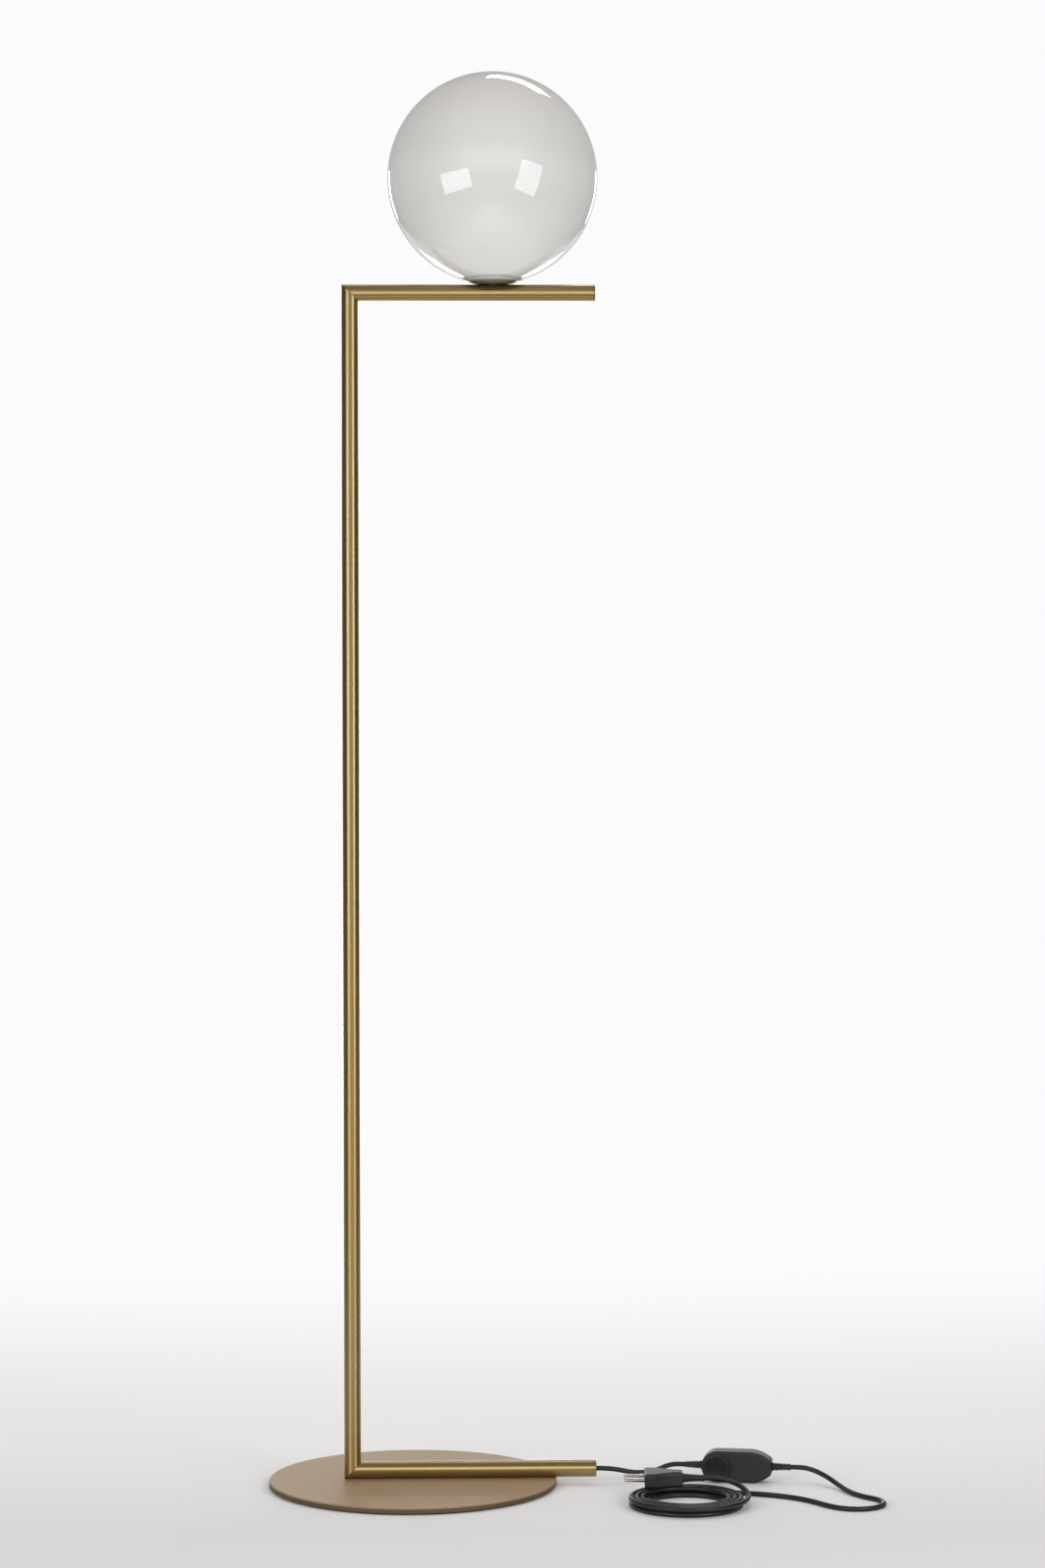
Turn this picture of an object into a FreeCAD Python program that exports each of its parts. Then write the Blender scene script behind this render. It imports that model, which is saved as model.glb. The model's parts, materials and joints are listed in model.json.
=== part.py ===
import FreeCAD, Part

import math
import os

# Globe floor lamp: a C-shaped frame of brass tube on a round steel base, an opal
# glass globe in a shallow metal dish on the upper arm, and a cord with a dimmer.
#
# Millimetres. The origin is the centre of the base on the floor, +Z is up, +X runs
# along both arms and +Y is the far side, away from the viewer.

Vec = FreeCAD.Vector
UP = Vec(0, 0, 1)
DOWN = Vec(0, 0, -1)
ALONG = Vec(1, 0, 0)

# ---------------------------------------------------------------- base
base_diameter = 274.0
base_thickness = 5.0
base_edge = 0.8              # chamfer round the top edge
pad_thickness = 1.5
pad_inset = 4.0              # the pad stands this far in from the plate's edge

# ---------------------------------------------------------------- tube frame
tube_diameter = 16.0
tube_wall = 1.2
post_offset = 57.6           # post axis to base centre
post_height = 1122.8         # from the lower arm's axis to the upper arm's axis
lower_arm_length = 232.6     # from the post axis to the outer face of the end cap
upper_arm_length = 233.7
cap_thickness = 2.5          # the part of an end cap that shows
cap_edge = 0.5
cap_spigot = 9.0             # the part inside the tube
cap_clearance = 0.05

# ---------------------------------------------------------------- base screws
screw_places = (-30.0, 100.0)   # along the lower arm, from the base centre
screw_diameter = 5.0
screw_head_diameter = 9.6
screw_head_depth = 2.6
anchor_diameter = 10.0
anchor_height = 3.6
screw_gap = 0.3              # between a screw's tip and the top of its anchor
pad_hole_diameter = 13.0
hole_clearance = 0.15

# ---------------------------------------------------------------- shade
shade_offset = 136.2         # from the post axis to the globe's axis
globe_diameter = 200.0
globe_wall = 2.5
globe_opening = 40.0
dish_diameter = 57.8
dish_depth = 4.3
dish_wall = 1.2
dish_flat_diameter = 21.2
dish_crease_diameter = 49.2  # where the bowl turns up into its rim
dish_crease_height = 2.7
rim_swell = 0.18             # bulge of the rim's section, as a share of its length
gasket_seat_diameter = 55.0  # where the glass stands on the gasket
gasket_width = 1.8
gasket_height = 0.9
seat_clearance = 0.2         # glass to gasket

# ---------------------------------------------------------------- stem, nut and collar
stem_diameter = 10.0
stem_bore = 7.4
stem_below = 5.0             # the stem's lower end is this far under the tube's top
stem_above = 13.0            # and its upper end this far over the dish's bottom
boss_diameter = 12.4
spacer_diameter = 19.0
spacer_height = 1.2
collar_diameter = 35.0
collar_thickness = 1.0
washer_diameter = 18.0
washer_thickness = 0.8
nut_width = 14.0
nut_height = 3.0
spring_count = 3
spring_width = 8.0
spring_thickness = 0.5
spring_height = 13.0
spring_clearance = 0.4       # from a spring's crest to the glass
spring_crest = 0.55          # how far up a spring its widest place is
spring_turn = 60.0           # degrees from +X to the first spring

# ---------------------------------------------------------------- lampholder and bulb
holder_cap_diameter = 24.0
holder_cap_height = 10.0
holder_diameter = 21.0
holder_height = 22.0
socket_width = 3.2
socket_thickness = 1.7
socket_depth = 16.0
pin_spacing = 9.0
pin_width = 2.6
pin_thickness = 1.1
pin_length = 14.0
bulb_gap = 0.3               # between the bulb's foot and the lampholder
bulb_foot_diameter = 15.6
bulb_foot_height = 14.0
bulb_diameter = 17.0
bulb_height = 36.0

# ---------------------------------------------------------------- cable in the frame
cord_diameter = 4.8
corner_radius = 14.0         # of the cable in the mitred corners
wire_diameter = 2.0
wire_spacing = 2.7
wire_radius = 5.5            # where the wires turn up into the stem
wire_start = 26.0            # the sheath ends this far before the stem
bush_diameter = 8.0
bush_clearance = 0.05

# ---------------------------------------------------------------- dimmer
dimmer_place = Vec(117.0, 8.0, 15.0)  # the knob's axis, from the lower arm's end on the floor
dimmer_turn = -10.0          # degrees about +Z, from +X
dimmer_width = 30.0
dimmer_thickness = 20.0
dimmer_straight = 30.0       # from the knob's axis to where the body tapers
dimmer_length = 52.0         # from the knob's axis to the narrow end
dimmer_tail_width = 13.0
dimmer_corner = 2.4          # at the narrow end
dimmer_edge = 2.0            # round the two flat sides
dimmer_wall = 2.0
guard_neck = 3.0             # the part of a cord guard in the housing's wall
guard_flange = 2.0           # and its collar inside the housing
guard_flange_diameter = 8.8
guard_root_diameter = 8.0
guard_tip_diameter = 6.0
dimmer_guard_length = 16.0
tail_guard_length = 18.0
knob_diameter = 24.6
knob_height = 4.6
knob_edge = 0.9
knob_gap = 0.3
knob_mark = 1.3              # radius of the dimple that shows the setting
shaft_diameter = 6.0
shaft_clearance = 0.05
shaft_length = 7.0
board_thickness = 1.6
board_length = 37.0
board_width = 19.0
board_start = 8.5            # from the knob's axis back to the board's near end
board_depth = 1.5            # behind the parting plane
board_clearance = 0.5        # to the screw bosses
control_size = 14.0
control_height = 5.5
case_screw_diameter = 2.6
case_screw_head = 4.6
case_screw_place = Vec(25.0, 0.0, 9.0)
case_boss_diameter = 5.6

# ---------------------------------------------------------------- plug
plug_width = 35.3
plug_thickness = 13.7
plug_length = 36.0
plug_rear_width = 15.0
plug_edge = 2.6
plug_waist = 0.45            # where along the body, and how far out, its side is at mid-curve
plug_shoulder = 0.72         # where along the body it is at its full width
plug_pin_diameter = 4.0
plug_pin_length = 19.0
plug_pin_spacing = 18.6
plug_pin_tip = 0.8
plug_guard_length = 20.0
plug_guard_root = 9.0

# ---------------------------------------------------------------- coil of cord
coil_centre = Vec(80.0, -105.0, 0.0)  # from the lower arm's end on the floor
coil_outer = 54.0            # radius of the first turn
coil_pitch = 5.5             # from one turn to the next, and from layer to layer
coil_start = 80.0            # degrees
turns_in = 3.0
turns_up = 0.5
turns_out = 3.25
gap_limit = 0.4

# The cord's route, from the lower arm's end on the floor. Points chosen by hand.
lead_route = [
    (0.0, 0.0, 14.5), (15.0, 0.0, 14.5), (37.0, 5.0, 8.5),
    (56.0, 13.0, 8.5), (72.19, 15.90, 15.0), (86.47, 13.38, 15.0),
]
run_route = [
    (185.94, -4.15, 15.0), (202.1, -7.0, 15.0), (218.0, -18.0, 9.5),
    (229.0, -38.0, 3.8), (236.0, -61.0, 2.4), (246.2, -81.0, 2.4),
    (262.0, -96.8, 2.4), (262.0, -119.2, 2.4), (246.2, -135.0, 2.4),
    (223.8, -135.0, 2.4), (208.0, -119.2, 2.4), (197.0, -99.0, 2.4),
    (177.0, -79.0, 2.4), (149.0, -64.5, 2.4), (119.8, -56.69, 2.4),
    (94.12, -52.58, 2.4),
]
tail_route = [
    (135.44, -109.90, 7.9), (138.18, -95.66, 7.9), (135.3, -81.2, 10.6),
    (126.5, -69.6, 14.2), (113.5, -63.02, 17.2), (98.5, -62.5, 17.2),
]

# ---------------------------------------------------------------- worked-out places
tube_radius = tube_diameter / 2
bore_radius = tube_radius - tube_wall
cord_radius = cord_diameter / 2
plate_top = pad_thickness + base_thickness
post_x = -post_offset
lower_z = plate_top + tube_radius
upper_z = lower_z + post_height
lower_end = post_x + lower_arm_length
upper_end = post_x + upper_arm_length
shade_x = post_x + shade_offset
dish_z = upper_z + tube_radius
rim_z = dish_z + dish_depth
globe_radius = globe_diameter / 2
seat_radius = gasket_seat_diameter / 2
seat_z = rim_z + gasket_height
globe_z = seat_z + math.sqrt(globe_radius**2 - seat_radius**2)
collar_z = dish_z + dish_wall + spacer_height
washer_z = collar_z + collar_thickness
nut_z = washer_z + washer_thickness
holder_cap_z = nut_z + nut_height
holder_z = holder_cap_z + holder_cap_height
holder_top = holder_z + holder_height
foot_z = holder_top + bulb_gap
bulb_z = foot_z + bulb_foot_height
cord_origin = Vec(lower_end, 0, 0)
plug_run = Vec(*tail_route[-1]) - Vec(*tail_route[-2])
plug_heading = math.degrees(math.atan2(plug_run.y, plug_run.x))
coil_height = cord_radius + coil_pitch   # the upper layer's axis


# ---------------------------------------------------------------- shapes in general
def cylinder(diameter, length, base, direction=UP):
    return Part.makeCylinder(diameter / 2, length, base, direction)


def block(low, high):
    size = high - low
    return Part.makeBox(size.x, size.y, size.z, low)


def extruded(points, direction):
    """A solid from a closed outline of straight sides."""
    wire = Part.makePolygon(points + [points[0]])
    return Part.Face(wire).extrude(direction)


def turned(edges, axis_x):
    """A solid of revolution about the vertical axis through axis_x."""
    face = Part.Face(Part.Wire(Part.__sortEdges__(edges)))
    return face.revolve(Vec(axis_x, 0, 0), UP, 360)


def line(a, b):
    return Part.LineSegment(a, b).toShape()


def arc(a, middle, b):
    return Part.Arc(a, middle, b).toShape()


def unit(v):
    return v / v.Length


def tapered(root_diameter, tip_diameter, length, base, direction):
    return Part.makeCone(root_diameter / 2, tip_diameter / 2, length, base, direction)


# ---------------------------------------------------------------- tube frame
def hollow_tube(start, direction, length):
    outer = cylinder(tube_diameter, length, start, direction)
    return outer.cut(cylinder(2 * bore_radius, length, start, direction))


def mitre_wedge(corner, diagonal, side):
    """What a 45 degree cut through the corner takes away, on the given side of it."""
    reach = 4 * tube_diameter
    depth = Vec(0, reach, 0)
    outline = [corner - diagonal * reach, corner + diagonal * reach, corner + side * reach]
    outline = [p - depth for p in outline]
    return extruded(outline, depth * 2)


lower_corner = Vec(post_x, 0, lower_z)
upper_corner = Vec(post_x, 0, upper_z)
rising = Vec(1, 0, 1)
falling = Vec(1, 0, -1)


def lower_arm_tube():
    start = lower_corner - ALONG * tube_diameter
    length = lower_arm_length - cap_thickness + tube_diameter
    tube = hollow_tube(start, ALONG, length)
    tube = tube.cut(mitre_wedge(lower_corner, rising, Vec(-1, 0, 1)))
    for x in screw_places:
        hole = cylinder(screw_diameter, tube_radius, Vec(x, 0, plate_top - tube_wall))
        tube = tube.cut(hole)
    return tube


def upper_arm_tube():
    start = upper_corner - ALONG * tube_diameter
    length = upper_arm_length - cap_thickness + tube_diameter
    tube = hollow_tube(start, ALONG, length)
    tube = tube.cut(mitre_wedge(upper_corner, falling, Vec(-1, 0, -1)))
    return tube.cut(cylinder(stem_diameter, tube_diameter, Vec(shade_x, 0, upper_z)))


def post_tube():
    start = lower_corner - UP * tube_diameter
    tube = hollow_tube(start, UP, post_height + 2 * tube_diameter)
    tube = tube.cut(mitre_wedge(lower_corner, rising, Vec(1, 0, -1)))
    return tube.cut(mitre_wedge(upper_corner, falling, Vec(1, 0, 1)))


def end_cap(end_x, axis_z):
    """A turned plug: a flush head as wide as the tube, and a spigot inside it."""
    face = Vec(end_x, 0, axis_z)
    head = cylinder(tube_diameter, cap_thickness, face, ALONG * -1)
    rim = [e for e in head.Edges if abs(e.BoundBox.XMin - end_x) < 0.01 and e.Closed]
    head = head.makeChamfer(cap_edge, rim)
    spigot_start = face - ALONG * (cap_thickness + cap_spigot)
    spigot = cylinder(2 * (bore_radius - cap_clearance), cap_spigot, spigot_start, ALONG)
    return head.fuse(spigot).removeSplitter()


def cord_outlet_cap():
    cap = end_cap(lower_end, lower_z)
    start = Vec(lower_end - cap_thickness - cap_spigot, 0, lower_z)
    return cap.cut(cylinder(bush_diameter, cap_thickness + cap_spigot, start, ALONG))


def cord_outlet_bush():
    """The plastic sleeve that keeps the cord off the metal edge."""
    length = cap_thickness + cap_spigot
    start = Vec(lower_end - length, 0, lower_z)
    sleeve = cylinder(bush_diameter, length, start, ALONG)
    return sleeve.cut(cylinder(cord_diameter + 2 * bush_clearance, length, start, ALONG))


# ---------------------------------------------------------------- base
def screw_cone(x, grow=0.0):
    """A countersunk head, wide side down on the plate's underside."""
    wide = screw_head_diameter + 2 * grow
    narrow = screw_diameter + 2 * grow
    return tapered(wide, narrow, screw_head_depth, Vec(x, 0, pad_thickness), UP)


def base_plate():
    plate = cylinder(base_diameter, base_thickness, UP * pad_thickness)
    rim = [e for e in plate.Edges if e.Closed and e.BoundBox.ZMin > plate_top - 0.01]
    plate = plate.makeChamfer(base_edge, rim)
    for x in screw_places:
        bore = screw_diameter + 2 * hole_clearance
        plate = plate.cut(cylinder(bore, base_thickness, Vec(x, 0, pad_thickness)))
        plate = plate.cut(screw_cone(x, hole_clearance))
    return plate


def base_pad():
    pad = cylinder(base_diameter - 2 * pad_inset, pad_thickness, Vec(0, 0, 0))
    for x in screw_places:
        pad = pad.cut(cylinder(pad_hole_diameter, pad_thickness, Vec(x, 0, 0)))
    return pad


def base_screws():
    tip = lower_z - bore_radius + anchor_height - screw_gap
    made = []
    for x in screw_places:
        shank = cylinder(screw_diameter, tip - pad_thickness, Vec(x, 0, pad_thickness))
        made.append(shank.fuse(screw_cone(x)).removeSplitter())
    return Part.makeCompound(made)


def screw_anchors():
    """Threaded seats brazed to the floor of the lower arm, for the base screws."""
    floor_z = lower_z - bore_radius
    bore = cylinder(2 * bore_radius, base_diameter, Vec(-base_diameter / 2, 0, lower_z), ALONG)
    made = []
    for x in screw_places:
        start = Vec(x, 0, floor_z - tube_wall)
        seat = cylinder(anchor_diameter, anchor_height + tube_wall, start)
        seat = seat.common(bore)
        made.append(seat.cut(cylinder(screw_diameter, tube_diameter, start)))
    return Part.makeCompound(made)


# ---------------------------------------------------------------- shade
def dish_curve(flat_radius, crease_radius, rise, floor_z):
    """The bowl's round flank: level at its flat, and through its crease."""
    run = crease_radius - flat_radius
    flank = (run**2 + rise**2) / (2 * rise)
    half = run / 2
    middle_z = floor_z + flank - math.sqrt(flank**2 - half**2)
    start = Vec(shade_x + flat_radius, 0, floor_z)
    middle = Vec(shade_x + flat_radius + half, 0, middle_z)
    return arc(start, middle, Vec(shade_x + crease_radius, 0, floor_z + rise))


def rim_curve(crease_radius, rim_radius, crease_z):
    """The dish's rim, which swells outwards between its crease and its edge."""
    low = Vec(shade_x + crease_radius, 0, crease_z)
    high = Vec(shade_x + rim_radius, 0, rim_z)
    along = high - low
    outwards = Vec(along.z, 0, -along.x)
    return arc(low, low + along * 0.5 + outwards * rim_swell, high)


def shade_dish():
    hole = stem_diameter / 2 + hole_clearance
    flat = dish_flat_diameter / 2
    crease = dish_crease_diameter / 2
    rim = dish_diameter / 2
    inner_z = dish_z + dish_wall
    inner_crease = crease - dish_wall / 2
    inner_rim = rim - dish_wall
    outer_crease_z = dish_z + dish_crease_height
    inner_crease_z = inner_z + dish_crease_height - dish_wall / 4
    section = [
        line(Vec(shade_x + hole, 0, dish_z), Vec(shade_x + flat, 0, dish_z)),
        dish_curve(flat, crease, dish_crease_height, dish_z),
        rim_curve(crease, rim, outer_crease_z),
        line(Vec(shade_x + rim, 0, rim_z), Vec(shade_x + inner_rim, 0, rim_z)),
        rim_curve(inner_crease, inner_rim, inner_crease_z),
        dish_curve(flat, inner_crease, inner_crease_z - inner_z, inner_z),
        line(Vec(shade_x + flat, 0, inner_z), Vec(shade_x + hole, 0, inner_z)),
        line(Vec(shade_x + hole, 0, inner_z), Vec(shade_x + hole, 0, dish_z)),
    ]
    return turned(section, shade_x)


def glass_gasket():
    """A soft ring on the dish's rim. Its top slopes as the glass does."""
    inner = seat_radius - gasket_width
    top_inner = globe_z - math.sqrt(globe_radius**2 - inner**2) - seat_clearance
    outline = [
        Vec(shade_x + dish_diameter / 2 - hole_clearance, 0, rim_z),
        Vec(shade_x + seat_radius, 0, seat_z - seat_clearance),
        Vec(shade_x + inner, 0, top_inner),
        Vec(shade_x + inner, 0, rim_z),
    ]
    wire = Part.makePolygon(outline + [outline[0]])
    return Part.Face(wire).revolve(Vec(shade_x, 0, 0), UP, 360)


def glass_globe():
    centre = Vec(shade_x, 0, globe_z)
    glass = Part.makeSphere(globe_radius, centre)
    glass = glass.cut(Part.makeSphere(globe_radius - globe_wall, centre))
    mouth = cylinder(globe_opening, globe_diameter, centre, DOWN)
    return glass.cut(mouth)


# ---------------------------------------------------------------- stem, nut and collar
def ring(outer_diameter, inner_diameter, height, floor_z):
    base = Vec(shade_x, 0, floor_z)
    disc = cylinder(outer_diameter, height, base)
    return disc.cut(cylinder(inner_diameter, height, base))


def stem():
    low = dish_z - stem_below
    return ring(stem_diameter, stem_bore, dish_z + stem_above - low, low)


def stem_boss():
    """The threaded seat brazed inside the upper arm, under its top wall."""
    low = dish_z - stem_below
    base = Vec(shade_x, 0, low)
    seat = cylinder(boss_diameter, tube_diameter, base)
    bore = cylinder(2 * bore_radius, 2 * boss_diameter, Vec(shade_x - boss_diameter, 0, upper_z), ALONG)
    return seat.common(bore).cut(cylinder(stem_diameter, tube_diameter, base))


def dish_spacer():
    return ring(spacer_diameter, stem_diameter + 2 * hole_clearance, spacer_height, dish_z + dish_wall)


def spring_collar():
    return ring(collar_diameter, stem_diameter + 2 * hole_clearance, collar_thickness, collar_z)


def stem_washer():
    return ring(washer_diameter, stem_diameter + 2 * hole_clearance, washer_thickness, washer_z)


def stem_nut():
    corner = nut_width / math.sqrt(3)
    outline = []
    for i in range(6):
        angle = math.radians(60 * i)
        outline.append(Vec(shade_x + corner * math.cos(angle), corner * math.sin(angle), nut_z))
    nut = extruded(outline, UP * nut_height)
    return nut.cut(cylinder(stem_diameter, nut_height, Vec(shade_x, 0, nut_z)))


def globe_springs():
    """Leaf springs that stand on the collar and bow out towards the glass."""
    foot = collar_diameter / 2 - spring_thickness
    crest = globe_opening / 2 - spring_clearance - spring_thickness
    top = collar_z + collar_thickness + spring_height
    knee = collar_z + collar_thickness + spring_height * spring_crest
    inside = [
        Vec(foot, -spring_width / 2, collar_z + collar_thickness),
        Vec(crest, -spring_width / 2, knee),
        Vec(foot, -spring_width / 2, top),
    ]
    outside = [p + ALONG * spring_thickness for p in reversed(inside)]
    leaf = extruded(inside + outside, Vec(0, spring_width, 0))
    made = []
    for i in range(spring_count):
        one = leaf.copy()
        one.rotate(Vec(0, 0, 0), UP, spring_turn + i * 360 / spring_count)
        one.translate(Vec(shade_x, 0, 0))
        made.append(one)
    return Part.makeCompound(made)


# ---------------------------------------------------------------- lampholder and bulb
def holder_cap():
    """The threaded cap that carries the lampholder on the stem."""
    base = Vec(shade_x, 0, holder_cap_z)
    cap = cylinder(holder_cap_diameter, holder_cap_height, base)
    return cap.cut(cylinder(stem_diameter, holder_cap_height, base))


def flat_pins(width, thickness, length, floor_z):
    """The two flat contacts of the bulb, or the sockets for them."""
    made = []
    for side in (-1, 1):
        middle = Vec(shade_x + side * pin_spacing / 2, 0, floor_z)
        half = Vec(thickness / 2, width / 2, 0)
        made.append(block(middle - half, middle + half + UP * length))
    return made


def lampholder():
    body = cylinder(holder_diameter, holder_height, Vec(shade_x, 0, holder_z))
    for socket in flat_pins(socket_width, socket_thickness, socket_depth, holder_top - socket_depth):
        body = body.cut(socket)
    return body


def bulb_foot():
    return cylinder(bulb_foot_diameter, bulb_foot_height, Vec(shade_x, 0, foot_z))


def bulb_pins():
    return Part.makeCompound(flat_pins(pin_width, pin_thickness, pin_length, foot_z - pin_length))


def bulb_envelope():
    """A plain domed cylinder of opal plastic."""
    radius = bulb_diameter / 2
    shoulder = bulb_z + bulb_height - radius
    base = Vec(shade_x, 0, bulb_z)
    body = cylinder(bulb_diameter, shoulder - bulb_z, base)
    return body.fuse(Part.makeSphere(radius, Vec(shade_x, 0, shoulder))).removeSplitter()


# ---------------------------------------------------------------- swept tubes
def length_of(edges):
    return sum(e.Length for e in edges)


def round_pipe(edges, diameter):
    """A round tube along tangent lines and arcs: pieces of cylinder and of ring."""
    here = edges[0].valueAt(edges[0].FirstParameter)
    heading = edges[0].tangentAt(edges[0].FirstParameter)
    section = Part.makeCircle(diameter / 2, here, heading)
    faces = [Part.Face(Part.Wire(section))]
    for edge in edges:
        start = edge.valueAt(edge.FirstParameter)
        end = edge.valueAt(edge.LastParameter)
        heading = edge.tangentAt(edge.FirstParameter)
        if (end - here).Length < (start - here).Length:
            start, end = end, start
            heading = edge.tangentAt(edge.LastParameter) * -1
        moved = section.copy()
        if isinstance(edge.Curve, Part.Circle):
            centre = edge.Curve.Center
            axis = unit((start - centre).cross(heading))
            angle = math.degrees(edge.Length / edge.Curve.Radius)
            faces.append(section.revolve(centre, axis, angle))
            moved.rotate(centre, axis, angle)
        else:
            faces.append(section.extrude(end - start))
            moved.translate(end - start)
        section = moved
        here = end
    faces.append(Part.Face(Part.Wire(section)))
    shell = Part.makeShell(faces)
    shell.sewShape()
    tube = Part.makeSolid(shell)
    if tube.Volume < 0:
        tube.reverse()
    return tube


def rounded_path(points, name, radii=None):
    """Straight runs joined by tangent arcs, as large as the two runs allow."""
    edges = []
    printed = []
    here = points[0]
    for i in range(1, len(points) - 1):
        before = points[i] - points[i - 1]
        after = points[i + 1] - points[i]
        turn = unit(before).getAngle(unit(after))
        cut = 0.45 * min(before.Length, after.Length)
        if radii:
            cut = radii[i - 1] * math.tan(turn / 2)
        radius = cut / math.tan(turn / 2)
        printed.append(radius)
        start = points[i] - unit(before) * cut
        end = points[i] + unit(after) * cut
        inwards = unit(unit(after) - unit(before))
        middle = points[i] + inwards * (radius / math.cos(turn / 2) - radius)
        edges.append(line(here, start))
        edges.append(arc(start, middle, end))
        here = end
    edges.append(line(here, points[-1]))
    print(name, "length", round(length_of(edges), 1), "radii", [round(r, 1) for r in printed])
    return edges


def checked_pipe(edges, diameter, name):
    tube = round_pipe(edges, diameter)
    expected = math.pi * diameter**2 / 4 * length_of(edges)
    print(name, "volume over section times length", round(tube.Volume / expected, 5))
    return tube


# ---------------------------------------------------------------- cable in the frame
def inner_cable():
    """The cord's own length inside the frame, from the outlet to near the stem."""
    points = [
        Vec(lower_end, 0, lower_z),
        lower_corner,
        upper_corner,
        Vec(shade_x - wire_start, 0, upper_z),
    ]
    path = rounded_path(points, "inner_cable", [corner_radius, corner_radius])
    return checked_pipe(path, cord_diameter, "inner_cable")


def lead_wires():
    """The two insulated wires from the cable's end up through the stem."""
    made = []
    for side in (-1, 1):
        y = side * wire_spacing / 2
        points = [
            Vec(shade_x - wire_start, y, upper_z),
            Vec(shade_x, y, upper_z),
            Vec(shade_x, y, holder_z),
        ]
        path = rounded_path(points, "lead_wire", [wire_radius])
        made.append(checked_pipe(path, wire_diameter, "lead_wire"))
    return Part.makeCompound(made)


# ---------------------------------------------------------------- cord
def cord_tube(route, name):
    points = [cord_origin + Vec(*p) for p in route]
    return checked_pipe(rounded_path(points, name), cord_diameter, name)


def coil_state(turn):
    """The coil's radius and height after this many turns, and their rates per turn."""
    inner = coil_outer - coil_pitch * turns_in
    if turn <= turns_in:
        return coil_outer - coil_pitch * turn, cord_radius, -coil_pitch, 0.0
    if turn >= turns_in + turns_up:
        passed = turn - turns_in - turns_up
        return inner + coil_pitch * passed, coil_height, coil_pitch, 0.0
    share = (turn - turns_in) / turns_up
    radius = inner - coil_pitch * turns_up * share * (1 - share)
    height = cord_radius + coil_pitch * (share - math.sin(2 * math.pi * share) / (2 * math.pi))
    radius_rate = -coil_pitch * (1 - 2 * share)
    height_rate = coil_pitch / turns_up * (1 - math.cos(2 * math.pi * share))
    return radius, height, radius_rate, height_rate


def coil_at(turn):
    """A place on the coil's axis line, and the heading there."""
    radius, height, radius_rate, height_rate = coil_state(turn)
    angle = math.radians(coil_start) + 2 * math.pi * turn
    out = Vec(math.cos(angle), math.sin(angle), 0)
    round_about = Vec(-out.y, out.x, 0)
    place = cord_origin + coil_centre + out * radius + UP * height
    rate = out * radius_rate + round_about * (2 * math.pi * radius) + UP * height_rate
    return place, unit(rate)


def tangent_arc(start, heading, end):
    """The arc that leaves start along heading and reaches end."""
    chord = end - start
    side = chord - heading * chord.dot(heading)
    towards = unit(side)
    radius = chord.Length**2 / (2 * chord.dot(towards))
    centre = start + towards * radius
    middle = centre + unit(start + chord * 0.5 - centre) * radius
    return arc(start, middle, end)


def biarc(start, start_heading, end, end_heading):
    """Two arcs, tangent where they meet, between two places with headings."""
    chord = end - start
    both = start_heading + end_heading
    spread = 2 * (1 - start_heading.dot(end_heading))
    along = chord.dot(both)
    reach = (math.sqrt(along**2 + spread * chord.dot(chord)) - along) / spread
    joint = (start + start_heading * reach + end - end_heading * reach) * 0.5
    first = tangent_arc(start, start_heading, joint)
    second = tangent_arc(end, end_heading * -1, joint)
    return [first, second]


def coil_gap(samples_per_turn=48):
    """The least distance between two turns' surfaces, on points along the coil."""
    turns = turns_in + turns_up + turns_out
    count = int(turns * samples_per_turn)
    places = [coil_at(i / samples_per_turn)[0] for i in range(count + 1)]
    least = coil_outer
    for i, place in enumerate(places):
        for other in places[i + samples_per_turn // 2:]:
            least = min(least, (place - other).Length - cord_diameter)
    return least


def cord_coil():
    """Two layers of turns as one unbroken tube: in, up a layer, and out again."""
    quarters = round(4 * (turns_in + turns_up + turns_out))
    stops = [coil_at(i / 4) for i in range(quarters + 1)]
    first, first_heading = stops[0]
    last, last_heading = stops[-1]
    edges = [line(first - first_heading * cord_diameter, first)]
    for (a, a_heading), (b, b_heading) in zip(stops, stops[1:]):
        edges += biarc(a, a_heading, b, b_heading)
    edges.append(line(last, last + last_heading * cord_diameter))
    gap = coil_gap()
    print("cord_coil length", round(length_of(edges), 1), "least gap", round(gap, 2), "limit", gap_limit)
    enters = first - first_heading * cord_diameter - cord_origin
    leaves = last + last_heading * cord_diameter - cord_origin
    print("cord_coil enters", enters, "leaves", leaves)
    return checked_pipe(edges, cord_diameter, "cord_coil")


# ---------------------------------------------------------------- dimmer
# Built about the knob's axis: +X along the cord to the plug's side, -Y the knob's side.
def dimmer_outline(shrink):
    """The housing's side view: a round end about the knob, tapering to the other end."""
    radius = dimmer_width / 2 - shrink
    tail = dimmer_tail_width / 2 - shrink
    knee = Vec(dimmer_straight, 0, radius)
    tip = Vec(dimmer_length - shrink, 0, tail)
    run = tip.x - knee.x
    drop = knee.z - tip.z
    sweep = (run**2 + drop**2) / (2 * drop)
    middle = Vec(knee.x + run / 2, 0, knee.z - sweep + math.sqrt(sweep**2 - run**2 / 4))
    flip = [Vec(p.x, 0, -p.z) for p in (knee, middle, tip)]
    edges = [
        arc(Vec(0, 0, -radius), Vec(-radius, 0, 0), Vec(0, 0, radius)),
        line(Vec(0, 0, radius), knee),
        arc(knee, middle, tip),
        line(tip, flip[2]),
        arc(flip[2], flip[1], flip[0]),
        line(flip[0], Vec(0, 0, -radius)),
    ]
    return Part.Face(Part.Wire(edges))


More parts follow.
